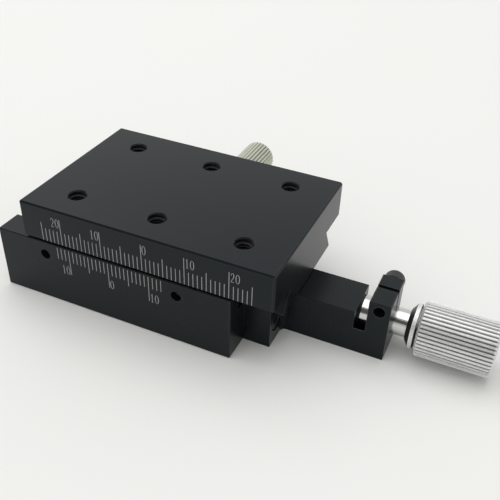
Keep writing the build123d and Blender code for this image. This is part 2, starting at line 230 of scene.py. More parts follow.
class EffectShelf:
    """Builds each shared effect once and hands it to the finishes."""

    def __init__(self) -> None:
        """Starts with no group built."""
        self._groups: dict[Effect, bpy.types.NodeTree] = {}
        self._makers: dict[Effect, Callable[[NodeSheet, Socket, Socket], Marks]] = {
            Effect.GRAIN: self._grain,
            Effect.TURNED: self._turned,
            Effect.MILLED: self._milled,
            Effect.SMUDGED: self._smudged,
            Effect.WORN_EDGES: self._worn_edges,
            Effect.CREVICES: self._crevices,
            Effect.DUST: self._dust,
        }

    def place(self, sheet: NodeSheet, effect: Effect, coordinate: Socket, size: float) -> Marks:
        """Puts an effect into a material.

        Args:
            sheet: The material's node sheet.
            effect: The effect wanted.
            coordinate: The output with the place on the object.
            size: The size of the effect's features, in metres.

        Returns:
            The effect's marks.
        """
        given = {"Place": coordinate, "Size": size}
        made = sheet.add("ShaderNodeGroup", node_tree=self._group(effect), inputs=given).outputs
        return Marks(made.get("Mask"), made.get("Height"))

    def _group(self, effect: Effect) -> bpy.types.NodeTree:
        """Gives the effect's node group, built on first use.

        Args:
            effect: The effect wanted.

        Returns:
            The group, with inputs Place and Size and the outputs that the effect gives.
        """
        if effect not in self._groups:
            tree = bpy.data.node_groups.new(effect.value, "ShaderNodeTree")
            tree.interface.new_socket("Place", in_out="INPUT", socket_type="NodeSocketVector")
            tree.interface.new_socket("Size", in_out="INPUT", socket_type="NodeSocketFloat")
            sheet = NodeSheet(tree)
            given, result = sheet.add("NodeGroupInput"), sheet.add("NodeGroupOutput")
            marks = self._makers[effect](sheet, given.outputs["Place"], given.outputs["Size"])
            for name, socket in zip(("Mask", "Height"), marks):
                if socket is not None:
                    tree.interface.new_socket(name, in_out="OUTPUT", socket_type="NodeSocketFloat")
                    sheet.link(socket, result.inputs[name])
            self._groups[effect] = tree
        return self._groups[effect]

    @staticmethod
    def _grain(sheet: NodeSheet, place: Socket, size: Socket) -> Marks:
        """Etched grain: fine noise over a coarser one, with a few pits."""
        scale = sheet.maths("DIVIDE", 1.0, size)
        fine = sheet.noise(place, scale, 3.0)
        coarse = sheet.noise(place, sheet.times(scale, 0.13), 2.0)
        pits = sheet.maths("LESS_THAN", fine, 0.33)
        height = sheet.maths("MULTIPLY_ADD", coarse, 0.4, fine)
        height = sheet.maths("MULTIPLY_ADD", pits, -0.3, height)
        return Marks(sheet.ramp(fine, 0.0, 1.0, 0.3), height)

    @staticmethod
    def _turned(sheet: NodeSheet, place: Socket, size: Socket) -> Marks:
        """Lines left by a lathe tool: rings spaced along the first axis of the place."""
        scale = sheet.maths("DIVIDE", 1.0, size)
        drawn = sheet.stretched(place, (1.0, 0.04, 0.04))
        lines = sheet.noise(drawn, scale, 4.0)
        bands = sheet.noise(drawn, sheet.times(scale, 0.15), 1.0)
        height = sheet.maths("MULTIPLY_ADD", bands, 0.5, lines)
        return Marks(sheet.ramp(lines, 0.0, 1.0, 0.3), height)

    @staticmethod
    def _milled(sheet: NodeSheet, place: Socket, size: Socket) -> Marks:
        """Lines left by a face mill: streaks that run along the first axis of the place."""
        drawn = sheet.stretched(place, (0.03, 1.0, 1.0))
        return Marks(height=sheet.noise(drawn, sheet.maths("DIVIDE", 1.0, size), 3.0))

    @staticmethod
    def _smudged(sheet: NodeSheet, place: Socket, size: Socket) -> Marks:
        """Soft patches left by handling, broken up by a finer noise."""
        scale = sheet.maths("DIVIDE", 1.0, size)
        patches = sheet.noise(place, scale, 1.5)
        broken = sheet.noise(place, sheet.times(scale, 7.0), 3.0)
        mixed = sheet.maths("MULTIPLY_ADD", sheet.maths("SUBTRACT", broken, 0.5), 0.35, patches)
        return Marks(sheet.ramp(mixed, 0.0, 1.0, 0.4))

    @staticmethod
    def _worn_edges(sheet: NodeSheet, place: Socket, size: Socket) -> Marks:
        """Edges where the finish is rubbed thin: where a bevelled normal leaves the true one."""
        bevel = sheet.add("ShaderNodeBevel", samples=6, inputs={"Radius": size})
        normals = {0: bevel.outputs["Normal"], 1: sheet.true_normal()}
        along = sheet.add("ShaderNodeVectorMath", operation="DOT_PRODUCT", inputs=normals)
        turned = sheet.maths("SUBTRACT", 1.0, along.outputs["Value"])
        patchy = sheet.noise(place, sheet.maths("DIVIDE", 0.12, size), 3.0)
        worn = sheet.times(sheet.times(turned, 9.0), patchy)
        return Marks(sheet.add("ShaderNodeClamp", inputs={"Value": worn}).outputs["Result"])

    @staticmethod
    def _crevices(sheet: NodeSheet, place: Socket, size: Socket) -> Marks:
        """Painted shade, mixed with dirt, where the surface closes in on itself: ambient occlusion
        darkens it.
        """
        reach = {"Distance": size}
        open_sky = sheet.add("ShaderNodeAmbientOcclusion", samples=6, only_local=True, inputs=reach)
        closed = sheet.ramp(open_sky.outputs["AO"], 1.0, 0.0, 0.35, 0.92)
        patchy = sheet.noise(place, sheet.maths("DIVIDE", 0.2, size), 2.0)
        return Marks(sheet.times(closed, sheet.ramp(patchy, 0.8, 1.0, 0.35, 0.6)))

    @staticmethod
    def _dust(sheet: NodeSheet, place: Socket, size: Socket) -> Marks:
        """Specks of dust that lie on upward faces only."""
        given = {"Vector": place, "Scale": sheet.maths("DIVIDE", 0.08, size)}
        cells = sheet.add("ShaderNodeTexVoronoi", feature="F1", inputs=given).outputs
        specks = sheet.maths("LESS_THAN", cells["Distance"], 0.045)
        chance = sheet.add("ShaderNodeSeparateColor", inputs={0: cells["Color"]}).outputs[0]
        kept = sheet.times(specks, sheet.maths("GREATER_THAN", chance, 0.8))
        upward = sheet.maths("GREATER_THAN", sheet.axes(sheet.true_normal())["Z"], 0.7)
        return Marks(sheet.times(kept, upward))


EFFECTS = EffectShelf()


# ---------------------------------------------------------------- finishes


def tinted(colour: Colour, factor: float) -> Colour:
    """Returns a colour with each channel scaled, up to white."""
    return tuple(min(1.0, factor * channel) for channel in colour)


class Coat(NodeSheet):
    """A material's node tree: its shader, the place on the object and the shared effects."""

    def __init__(self, tree: bpy.types.NodeTree) -> None:
        """Clears the tree and gives it a shader.

        Args:
            tree: The material's node tree.
        """
        super().__init__(tree)
        self._shader = self.add("ShaderNodeBsdfPrincipled")
        self.add("ShaderNodeOutputMaterial", inputs={"Surface": self._shader.outputs[0]})
        self.place = self.add("ShaderNodeTexCoord").outputs["Object"]

    def effect(self, effect: Effect, size: float) -> Marks:
        """Lays a shared effect on the surface, with features of a size in metres."""
        return EFFECTS.place(self, effect, self.place, size)

    def give(self, name: str, value: object) -> None:
        """Gives one of the shader's inputs a plain value or an output."""
        self.feed(value, self._shader.inputs[name])

    def bump(self, height: Socket, strength: float, depth: float) -> None:
        """Raises the surface by a height.

        Args:
            height: The output with the height.
            strength: How strongly it shows, from 0 to 1.
            depth: The height of 1, in metres.
        """
        given = {"Strength": strength, "Distance": depth, "Height": height}
        self.give("Normal", self.add("ShaderNodeBump", inputs=given).outputs["Normal"])


@dataclass(frozen=True)
class Finish:
    """A finish that can be put on pieces; each kind lays out its own nodes."""

    name: str
    colour: Colour
    roughness: float

    def material(self) -> bpy.types.Material:
        """Builds the material on first use.

        Returns:
            The material named after this finish.
        """
        title = f"{self.name}_finish"
        known = bpy.data.materials.get(title)
        if known:
            return known
        made = bpy.data.materials.new(title)
        made.use_nodes = True
        made.diffuse_color = (*self.colour, 1.0)
        self.lay_out(Coat(made.node_tree))
        return made

    def lay_out(self, coat: Coat) -> None:
        """Wires the finish's own nodes; each kind of finish has its own."""
        raise NotImplementedError

    def dress(self, pieces: Iterable[bpy.types.Object]) -> None:
        """Puts the finish on pieces.

        Args:
            pieces: Mesh objects, whose own materials are replaced.
        """
        for piece in pieces:
            piece.data.materials.clear()
            piece.data.materials.append(self.material())

    def roughen(self, coat: Coat, mask: Socket, spread: float) -> None:
        """Lets a mask raise the roughness from the finish's own by up to a spread."""
        coat.give("Roughness", coat.ramp(mask, self.roughness, self.roughness + spread))


@dataclass(frozen=True)
class AnodisedFinish(Finish):
    """Dyed and sealed anodising over machined aluminium."""

    rubbed: Colour = (0.16, 0.165, 0.17)
    dust: Colour = (0.2, 0.2, 0.19)
    faded: float = 1.35
    edge_width: float = 0.16 * MM
    grain_size: float = 0.09 * MM
    patch_size: float = 14 * MM
    dust_size: float = 0.35 * MM
    depth: float = 0.006 * MM
    gloss: float = 0.25
    metal: float = 0.4

    def lay_out(self, coat: Coat) -> None:
        """Wires grain, mill streaks, handling patches, rubbed edges and dust."""
        coat.give("Metallic", self.metal)
        coat.give("Specular IOR Level", self.gloss)
        grain = coat.effect(Effect.GRAIN, self.grain_size)
        mill = coat.effect(Effect.MILLED, 3 * self.grain_size)
        patches = coat.effect(Effect.SMUDGED, self.patch_size)
        edges = coat.effect(Effect.WORN_EDGES, self.edge_width)
        dust = coat.effect(Effect.DUST, self.dust_size)
        tone = coat.ramp(patches.mask, 0.0, 0.35)
        dyed = coat.blend(tone, self.colour, tinted(self.colour, self.faded))
        worn = coat.blend(coat.times(edges.mask, 0.55), dyed, self.rubbed)
        coat.give("Base Color", coat.blend(dust.mask, worn, self.dust))
        smooth = coat.ramp(patches.mask, self.roughness + 0.03, self.roughness - 0.04)
        coat.give("Roughness", coat.maths("MULTIPLY_ADD", grain.mask, 0.05, smooth))
        coat.bump(coat.maths("MULTIPLY_ADD", mill.height, 0.5, grain.height), 0.2, self.depth)


@dataclass(frozen=True)
class TurnedMetalFinish(Finish):
    """Bright turned or ground metal; across turns its tool lines away from rings round X."""

    lines: float = 0.06 * MM
    spread: float = 0.1
    depth: float = 0.004 * MM
    patch_size: float = 4 * MM
    edge_width: float = 0.12 * MM
    tarnish: Colour = (0.2, 0.19, 0.17)
    tarnished: float = 0.25
    polished: float = 1.25
    across: Point = (0.0, 0.0, 0.0)

    def lay_out(self, coat: Coat) -> None:
        """Wires tool lines, handling patches and a little tarnish over bare metal."""
        coat.give("Metallic", 1.0)
        given = {"Vector": coat.place, "Rotation": self.across}
        turned = coat.add("ShaderNodeVectorRotate", rotation_type="EULER_XYZ", inputs=given)
        lines = EFFECTS.place(coat, Effect.TURNED, turned.outputs[0], self.lines)
        patches = coat.effect(Effect.SMUDGED, self.patch_size)
        edges = coat.effect(Effect.WORN_EDGES, self.edge_width)
        body = coat.blend(coat.times(patches.mask, self.tarnished), self.colour, self.tarnish)
        bright = tinted(self.colour, self.polished)
        coat.give("Base Color", coat.blend(coat.times(edges.mask, 0.5), body, bright))
        smooth, worn = self.roughness - self.spread / 2, self.roughness + self.spread
        rough = coat.ramp(lines.mask, smooth, worn)
        coat.give("Roughness", coat.maths("MULTIPLY_ADD", patches.mask, 0.06, rough))
        coat.bump(lines.height, 0.35, self.depth)


@dataclass(frozen=True)
class KnurledNickelFinish(Finish):
    """Satin nickel plate over straight knurling, with painted shade in its valleys and in bands
    along X.
    """

    shade: Colour = (0.47, 0.468, 0.464)
    polish: Colour = (0.82, 0.82, 0.8)
    # Painted shade colours: the valleys' shade mixed with dirt, and the dark of the shaded bands.
    grime: Colour = (0.27, 0.269, 0.265)
    oil: Colour = (0.08, 0.08, 0.082)
    speck: float = 0.12 * MM
    chatter: float = 0.3 * MM
    ridge: float = 0.4 * MM
    patch_size: float = 3 * MM
    edge_width: float = 0.1 * MM
    depth: float = 0.015 * MM
    soft: float = 0.03 * MM
    # Spans along X that take painted shade.
    bands: tuple[tuple[float, float], ...] = ()

    def lay_out(self, coat: Coat) -> None:
        """Wires frosted grain, chatter, dull patches, polished ridge tops, painted shade with dirt
        in the valleys, and painted shade in the bands.
        """
        coat.give("Metallic", 1.0)
        grain = coat.effect(Effect.GRAIN, self.speck)
        chatter = coat.effect(Effect.GRAIN, self.chatter)
        patches = coat.effect(Effect.SMUDGED, self.patch_size)
        edges = coat.effect(Effect.WORN_EDGES, self.edge_width)
        # Painted shade: ambient occlusion darkens the flute valleys, mixed with dirt.
        valleys = coat.effect(Effect.CREVICES, self.ridge)
        dulled = coat.maths("MULTIPLY_ADD", patches.mask, 0.3, coat.times(chatter.mask, 0.7))
        plated = coat.blend(dulled, self.colour, self.shade)
        lit = coat.blend(coat.times(edges.mask, 0.6), plated, self.polish)
        dirt_and_shade = coat.blend(valleys.mask, lit, self.grime)
        # Painted shade over the bands along X.
        if self.bands:
            dirt_and_shade = coat.blend(self._banded(coat), dirt_and_shade, self.oil)
        coat.give("Base Color", dirt_and_shade)
        self.roughen(coat, grain.mask, 0.12)
        coat.bump(coat.maths("MULTIPLY_ADD", chatter.height, 2.5, grain.height), 0.4, self.depth)

    def _banded(self, coat: Coat) -> Socket:
        """Masks the bands of painted shade, which fade out where they face up.

        Args:
            coat: The material's nodes.

        Returns:
            1 inside each band and 0 outside them.
        """
        along = coat.axes(coat.place)["X"]
        mask = 0.0
        for low, high in self.bands:
            inside = coat.ramp(along, 0.0, 1.0, low - self.soft, low + self.soft)
            before = coat.ramp(along, 1.0, 0.0, high - self.soft, high + self.soft)
            mask = coat.maths("MAXIMUM", coat.times(inside, before), mask)
        upward = coat.axes(coat.true_normal())["Z"]
        return coat.times(mask, coat.ramp(upward, 1.0, 0.0, 0.5, 0.68))


@dataclass(frozen=True)
class MattFinish(Finish):
    """A fine-grained matt surface with patches of a second colour, and perhaps rubbed edges."""

    second: Colour
    specular: float
    grain_size: float
    patch_size: float
    patched: float = 1.0
    dotted: float = 0.0
    rubbed: Colour | None = None
    edge_width: float = 0.08 * MM
    spread: float = 0.15
    relief: float = 0.3
    depth: float = 0.01 * MM

    def lay_out(self, coat: Coat) -> None:
        """Wires a grain, patches and dots of the second colour and the rubbed edges."""
        coat.give("Specular IOR Level", self.specular)
        grain = coat.effect(Effect.GRAIN, self.grain_size)
        patches = coat.effect(Effect.SMUDGED, self.patch_size)
        surface = coat.blend(coat.times(patches.mask, self.patched), self.colour, self.second)
        if self.dotted:
            surface = coat.blend(coat.times(grain.mask, self.dotted), surface, self.second)
        if self.rubbed:
            edges = coat.effect(Effect.WORN_EDGES, self.edge_width)
            surface = coat.blend(coat.times(edges.mask, 0.6), surface, self.rubbed)
        coat.give("Base Color", surface)
        self.roughen(coat, grain.mask, self.spread)
        coat.bump(grain.height, self.relief, self.depth)


@dataclass(frozen=True)
class PaperFinish(Finish):
    """The pale sheet that the stage stands on."""

    mottled: Colour = (0.825, 0.820875, 0.7889)
    patch_size: float = 60 * MM

    def lay_out(self, coat: Coat) -> None:
        """Wires a barely mottled matt sheet."""
        coat.give("Specular IOR Level", 0.1)
        mottle = coat.effect(Effect.SMUDGED, self.patch_size)
        coat.give("Base Color", coat.blend(mottle.mask, self.colour, self.mottled))
        coat.give("Roughness", coat.ramp(mottle.mask, self.roughness, 1.0))


QUARTER_TURN = (0.0, 0.0, TURN / 4)
BLACK_ANODISED = AnodisedFinish("black_anodised", (0.0094, 0.0129, 0.0146), 0.26)
NICKEL_KNURL = KnurledNickelFinish("satin_nickel_knurl", (0.8, 0.798, 0.79), 0.54)
GROUND_STEEL = TurnedMetalFinish("ground_steel", (0.6, 0.597, 0.585), 0.17, spread=0.07)
SPRING_STEEL = TurnedMetalFinish("spring_steel", (0.2, 0.2, 0.21), 0.38)
GIB_BRASS = TurnedMetalFinish("ground_brass", (0.62, 0.47, 0.22), 0.3, tarnish=(0.3, 0.2, 0.09))
NUT_BRASS = TurnedMetalFinish(
    "machined_brass", (0.68, 0.5, 0.24), 0.27, lines=0.12 * MM, tarnish=(0.33, 0.2, 0.09)
)
PAD_BRASS = replace(NUT_BRASS, name="turned_brass", lines=0.06 * MM, across=QUARTER_TURN)
LOCK_STEEL = TurnedMetalFinish("turned_steel", (0.6, 0.595, 0.57), 0.26, across=QUARTER_TURN)
BLACK_STEEL = MattFinish(
    "black_oxide",
    (0.018, 0.0178, 0.0175),
    0.32,
    second=(0.0243, 0.02314, 0.021875),
    specular=0.35,
    grain_size=0.1 * MM,
    patch_size=1.5 * MM,
    rubbed=(0.14, 0.135, 0.13),
)
# Painted shade: the thrust washers' polymer is coloured near black for the shade they sit in.
SHADE_DARKENED_WASHERS = MattFinish(
    "shade_darkened_sliding_polymer",
    (0.02, 0.02, 0.021),
    0.42,
    second=(0.014, 0.014, 0.0147),
    specular=0.4,
    grain_size=0.15 * MM,
    patch_size=2 * MM,
    patched=0.5,
    spread=0.1,
    relief=0.15,
    depth=0.005 * MM,
)
ENGRAVING = MattFinish(
    "engraved_marks",
    (0.32, 0.33, 0.325),
    0.6,
    second=(0.12, 0.12, 0.12),
    specular=0.3,
    grain_size=0.07 * MM,
    patch_size=5 * MM,
    patched=0.45,
    dotted=0.25,
    relief=0.4,
)
# Painted shade: the threads inside the tapped holes get a darker, duller anodise than the outer
# faces, for the shade in the holes.
SHADE_DARKENED_THREAD = AnodisedFinish("shade_darkened_thread", (0.006, 0.0063, 0.007), 0.34, gloss=0.15, metal=0.0)
# The lock knob's knurl also takes painted shade mixed with dirt in its valleys.
LOCK_NICKEL = KnurledNickelFinish(
    "dull_nickel_knurl",
    (0.57, 0.585, 0.49),
    0.5,
    shade=(0.42, 0.43, 0.36),
    grime=(0.28, 0.285, 0.24),
)
PAPER = PaperFinish("pale_paper", (0.825, 0.825, 0.805), 0.9)


def dress(**finishes: Finish) -> None:
    """Puts a finish on each CAD node that is named."""
    for node, finish in finishes.items():
        finish.dress([frame["nodes"][node]])


# ---------------------------------------------------------------- meshes


def build_mesh(
    name: str, points: Sequence[Point], faces: Sequence[Sequence[int]]
) -> bpy.types.Object:
    """Makes a closed mesh object with its faces turned outwards.

    Args:
        name: The piece's name.
        points: Its vertices, in metres, in the stage's frame.
        faces: Its faces as vertex numbers.

    Returns:
        The new object, linked to the scene, at the origin.
    """
    mesh = bpy.data.meshes.new(name)
    mesh.from_pydata(points, [], faces)
    worked = bmesh.new()
    worked.from_mesh(mesh)
    bmesh.ops.remove_doubles(worked, verts=worked.verts, dist=WELD)
    bmesh.ops.recalc_face_normals(worked, faces=worked.faces)
    worked.to_mesh(mesh)
    worked.free()
    made = bpy.data.objects.new(name, mesh)
    bpy.context.scene.collection.objects.link(made)
    return made


@dataclass
class Shell:
    """Vertices and faces that are gathered before they become one mesh."""

    points: list[Point] = field(default_factory=list)
    faces: list[tuple[int, ...]] = field(default_factory=list)

    def add_rings(self, rings: Sequence[Sequence[Point]], closed: bool = False) -> None:
        """Adds a tube through rings of points.

        Args:
            rings: Rings with the same number of points each.
            closed: True if the last ring meets the first; else both ends are capped.
        """
        first, count = len(self.points), len(rings[0])
        for ring in rings:
            self.points.extend(tuple(point) for point in ring)
        spans = len(rings) if closed else len(rings) - 1
        for i in range(spans):
            here, there = first + i * count, first + (i + 1) % len(rings) * count
            for j in range(count):
                k = (j + 1) % count
                self.faces.append((here + j, here + k, there + k, there + j))
        if not closed:
            self.faces.append(tuple(first + j for j in reversed(range(count))))
            last = first + (len(rings) - 1) * count
            self.faces.append(tuple(last + j for j in range(count)))

    def turn(self, plan: Sequence[tuple[float, float]], count: int) -> None:
        """Adds a solid turned round Z, with flat ends, from its corners' radius and height."""
        self.add_rings(
            [
                [polar(radius, TURN * i / count, height) for i in range(count)]
                for radius, height in plan
            ]
        )

    def placed(self, seat: Matrix) -> "Shell":
        """Returns a copy of the shell moved by a matrix."""
        return Shell([tuple(seat @ Vector(point)) for point in self.points], list(self.faces))

    def joined(self, other: "Shell") -> "Shell":
        """Returns one shell that holds this one and another."""
        shift = len(self.points)
        moved = [tuple(shift + i for i in face) for face in other.faces]
        return Shell(self.points + other.points, self.faces + moved)

    def piece(self, name: str, body: Body, slot: Slot, finish: Finish, node: str = "") -> None:
        """Makes the shell a dressed piece that rides on a body.

        Args:
            name: The piece's name.
            body: The body that it rides on.
            slot: The record's slot that it stands for; not used.
            finish: The finish it gets.
            node: The CAD node that it stands for, if any.
        """
        made = build_mesh(name, self.points, self.faces)
        finish.dress([made])
        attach(made, body.value)
        if node:
            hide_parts(node)
        LOG.info("%s: %d faces on %s", name, len(made.data.polygons), body.value)


def seat_towards(place: Vector, axis: Vector) -> Matrix:
    """Returns the matrix that carries +Z at the origin to an axis at a place."""
    return Matrix.Translation(place) @ axis.to_track_quat("Z", "Y").to_matrix().to_4x4()


def seat_through(node: str, axis: Vector, height: float) -> Matrix:
    """Finds the seat on the line through a node's middle along an axis.

    Args:
        node: The CAD node's name.
        axis: X or Y, whichever way it points.
        height: The seat's own X or Y.

    Returns:
        The matrix that carries +Z at the origin there.
    """
    low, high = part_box(node)
    middle = (low + high) / 2
    return seat_towards(Vector(height if along else mid for along, mid in zip(axis, middle)), axis)


def polar(radius: float, angle: float, height: float) -> Point:
    """Returns the point at a radius, an angle and a height."""
    return (radius * math.cos(angle), radius * math.sin(angle), height)


@dataclass(frozen=True)
class ThreadRidge:
    """A helical ridge along Z, closed all round, that fades out at both ends."""

    crest: float
    root: float
    pitch: float
    low: float
    high: float
    sink: float = 0.05 * MM
    steps: int = 20
    foot_share: float = 0.44
    tip_share: float = 0.07

    def shell(self) -> Shell:
        """Builds the ridge: its section is a trapezium whose foot is sunk in what carries it.

        Returns:
            The ridge as a shell.
        """
        turns = (self.high - self.low) / self.pitch - 1
        count = max(2, round(turns * self.steps))
        outward = 1.0 if self.crest > self.root else -1.0
        foot = self.root - outward * self.sink
        wide, narrow = self.foot_share * self.pitch, self.tip_share * self.pitch
        rings = []
        for i in range(count + 1):
            angle = TURN * turns * i / count
            middle = self.low + self.pitch * (0.5 + turns * i / count)
            fade = min(1.0, 2.0 * i / self.steps, 2.0 * (count - i) / self.steps)
            tip = self.root + (self.crest - self.root) * max(fade, 0.05)
            section = ((foot, -wide), (tip, -narrow), (tip, narrow), (foot, wide))
            rings.append([polar(radius, angle, middle + rise) for radius, rise in section])
        ridge = Shell()
        ridge.add_rings(rings)
        return ridge


@dataclass(frozen=True)
class SocketScrew:
    """A hexagon socket screw on Z with its seat, or its outer end if it has no head, at z = 0."""

    thread: float
    pitch: float
    key: float
    head_radius: float = 0.0
    head_height: float = 0.0
    length: float = 0.0
    ridges: int = 36
    knurl: float = 0.05 * MM
    edge: float = 0.15 * MM
    mouth_bevel: float = 0.06 * MM
    mouth_depth: float = 0.1 * MM

    def _hexagon(self, angle: float) -> float:
        """Returns the distance of the socket's wall from the axis at an angle."""
        return self.key / 2 / math.cos((angle + TURN / 12) % (TURN / 6) - TURN / 12)

    def _ring(self, size: float, height: float, notch: float = 0.0) -> list[Point]:
        """Runs once round the screw at a height.

        Args:
            size: The ring's radius, or 0 for the socket's hexagon.
            height: Its height.
            notch: How far every second point stands back.

        Returns:
            The ring's points.
        """
        count = 2 * self.ridges
        angles = [TURN * i / count for i in range(count)]
        return [
            polar((size or self._hexagon(angle)) - notch * (i % 2), angle, height)
            for i, angle in enumerate(angles)
        ]

    def shell(self) -> Shell:
        """Builds the screw from its point up to the bottom of its socket.

        Returns:
            The screw as a shell.
        """
        root, radius = self.thread / 2 - 0.6 * self.pitch, self.thread / 2
        top = self.head_height
        outer = self.head_radius or radius
        knurl = self.knurl if self.head_radius else 0.0
        plan = [(root - self.edge, -self.length), (root, self.edge - self.length)]
        if self.head_radius:
            plan += [(root, -self.pitch), (radius, -0.6 * self.pitch), (radius, 0.0)]
            plan += [(outer - self.edge, 0.0), (outer, self.edge, knurl)]
            plan += [(outer, 0.8 * top, knurl), (outer - knurl, 0.86 * top)]
        else:
            plan += [(root, -self.edge)]
        depth = 0.55 * self.thread if self.head_radius else 0.45 * self.length
        mouth = self.key / 2 / math.cos(TURN / 12) + self.mouth_bevel
        plan += [(outer - knurl - self.edge, top), (mouth, top), (0.0, top - self.mouth_depth)]
        plan += [(0.0, top - depth), (0.1 * self.key, top - depth - 0.12 * self.key)]
        screw = Shell()
        screw.add_rings([self._ring(*corner) for corner in plan])
        ridge = ThreadRidge(radius, root, self.pitch, -self.length, -0.5 * self.pitch)
        return screw.joined(ridge.shell())

    def stand_for(self, node: str, name: str, body: Body, axis: Vector, pair: bool = False) -> None:
        """Stands for a node's screws, in its place and at its length.

        Args:
            node: The CAD node's name.
            name: The new piece's name.
            body: The body that it rides on.
            axis: The way the screw's socket faces, along X or Y.
            pair: True if the node holds two screws side by side.
        """
        low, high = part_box(node)
        size = high - low
        across = Vector((abs(axis.y), abs(axis.x), 0.0))
        head = self.head_height
        outer = max(low.dot(axis), high.dot(axis))
        screw = replace(self, length=abs(size.dot(axis)) - head).shell()
        reach = size.dot(across) / 2 - (self.head_radius or self.thread / 2) if pair else 0.0
        seat = seat_through(node, axis, (outer - head) * (axis.x + axis.y))
        made = Shell()
        for shift in (-reach, reach) if pair else (0.0,):
            made = made.joined(screw.placed(Matrix.Translation(shift * across) @ seat))
        made.piece(name, body, Slot.BLACK_STEEL, BLACK_STEEL, node)


# ---------------------------------------------------------------- engraved scales

Stroke = tuple[tuple[tuple[float, float, float], ...], bool]


@dataclass(frozen=True)
class Numerals:
    """Narrow engraved figures with swelling strokes, in a cell one unit high."""

    height: float = 2.4 * MM
    width: float = 0.95 * MM
    advance: float = 1.15 * MM
    ring_points: int = 28
    bowl_points: int = 13

    def strokes(self, figure: str) -> list[Stroke]:
        """Gives the strokes of a figure.

        Args:
            figure: One of 0, 1 and 2.

        Returns:
            For each stroke its points (across, up, thickness) and whether it closes on itself.
        """
        if figure == "0":
            ring = tuple(
                (0.5 + 0.4 * math.cos(a), 0.5 + 0.455 * math.sin(a), 0.09 + 0.09 * math.cos(a) ** 2)
                for a in [TURN * i / self.ring_points for i in range(self.ring_points)]
            )
            return [(ring, True)]
        if figure == "1":
            stem = ((0.52, 0.03, 0.17), (0.52, 0.5, 0.17), (0.52, 0.99, 0.17))
            flag = ((0.24, 0.8, 0.06), (0.4, 0.86, 0.09), (0.52, 0.95, 0.1))
            foot = ((0.22, 0.03, 0.06), (0.82, 0.03, 0.06))
            return [(stem, False), (flag, False), (foot, False)]
        last = self.bowl_points - 1
        bowl = tuple(
            (0.5 + 0.33 * math.cos(a), 0.7 + 0.25 * math.sin(a), 0.1 + 0.07 * max(0.0, math.cos(a)))
            for a in [math.pi * (1 - 1.28 * i / last) for i in range(last + 1)]
        )
        tail = ((0.46, 0.32, 0.12), (0.24, 0.12, 0.11), (0.14, 0.05, 0.1))
        foot = ((0.1, 0.05, 0.09), (0.6, 0.06, 0.14), (0.88, 0.1, 0.08))
        return [(bowl + tail, False), (foot, False)]


@dataclass(frozen=True)
class ScaleRule:
    """A scale's divisions each side of zero, its numbers and the lengths of its lines."""

    span: int
    way: int
    numbered: tuple[int, ...]
    whole: float
    half: float
    single: float
    division: float = 1 * MM
    thickness: float = 0.16 * MM

    def length(self, number: int) -> float:
        """Gives the length of a line.

        Args:
            number: The line's number from zero.

        Returns:
            Its length for a whole, a half or a single division.
        """
        if number % 10 == 0:
            return self.whole
        return self.half if number % 5 == 0 else self.single


@dataclass
class ScaleFace:
    """Marks cut into a face that looks along -Y: lines and figures a hair proud of it."""

    plane: float
    proud: float = 0.012 * MM
    sunk: float = 0.05 * MM
    gap: float = 0.25 * MM
    style: Numerals = Numerals()
    shell: Shell = field(default_factory=Shell)

    def line(self, x: float, low: float, high: float, thickness: float) -> None:
        """Adds an upright line.

        Args:
            x: Its middle.
            low: Its lower end.
            high: Its upper end.
            thickness: Its width.
        """
        half, nib = thickness / 2, thickness / 4
        edge = [(-half, low + nib), (-nib, low), (nib, low), (half, low + nib)]
        edge += [(half, high - nib), (nib, high), (-nib, high), (-half, high - nib)]
        depths = (self.plane - self.proud, self.plane + self.sunk)
        self.shell.add_rings([[(x + u, y, z) for u, z in edge] for y in depths])

    def figure(self, figure: str, left: float, foot: float) -> None:
        """Adds one figure.

        Args:
            figure: The figure.
            left: X of its cell's left side.
            foot: Z of its foot.
        """
        near, far = self.plane - self.proud, self.plane + self.sunk
        width, height = self.style.width, self.style.height
        for points, closed in self.style.strokes(figure):
            spots = [Vector((left + u * width, foot + v * height)) for u, v, _ in points]
            rings = []
            for i, (spot, (_, _, thick)) in enumerate(zip(spots, points)):
                before = spots[i - 1] if closed or i else spot
                after = spots[(i + 1) % len(spots)] if closed or i < len(spots) - 1 else spot
                along = (after - before).normalized()
                side = Vector((-along.y, along.x)) * (thick * width / 2)
                left_side, right_side = spot + side, spot - side
                ends = ((left_side, near), (right_side, near), (right_side, far), (left_side, far))
                rings.append([(end.x, y, end.y) for end, y in ends])
            self.shell.add_rings(rings, closed)

    def number(self, value: int, line_x: float, foot: float) -> None:
        """Adds a number beside its line: to the left below zero, else to the right.

        Args:
            value: The number, whose sign isn't engraved.
            line_x: X of the line that it belongs to.
            foot: Z of its foot.
        """
        text = str(abs(value))
        run = self.style.advance * (len(text) - 1) + self.style.width
        left = line_x - self.gap - run if value < 0 else line_x + self.gap
        for i, figure in enumerate(text):
            self.figure(figure, left + i * self.style.advance, foot)

    def scale(self, rule: ScaleRule, zero: float, edge: float, foot: float) -> None:
        """Adds a whole scale.

        Args:
            rule: The scale's divisions.
            zero: X of its zero line.
            edge: Z of the edge that its lines start from.
            foot: Z of the numbers' feet.
        """
        for n in range(-rule.span, rule.span + 1):
            low, high = sorted((edge, edge + rule.way * rule.length(n)))
            self.line(zero + n * rule.division, low, high, rule.thickness)
        for value in rule.numbered:
            self.number(value, zero + value * rule.division, foot)


# ---------------------------------------------------------------- sub-assemblies


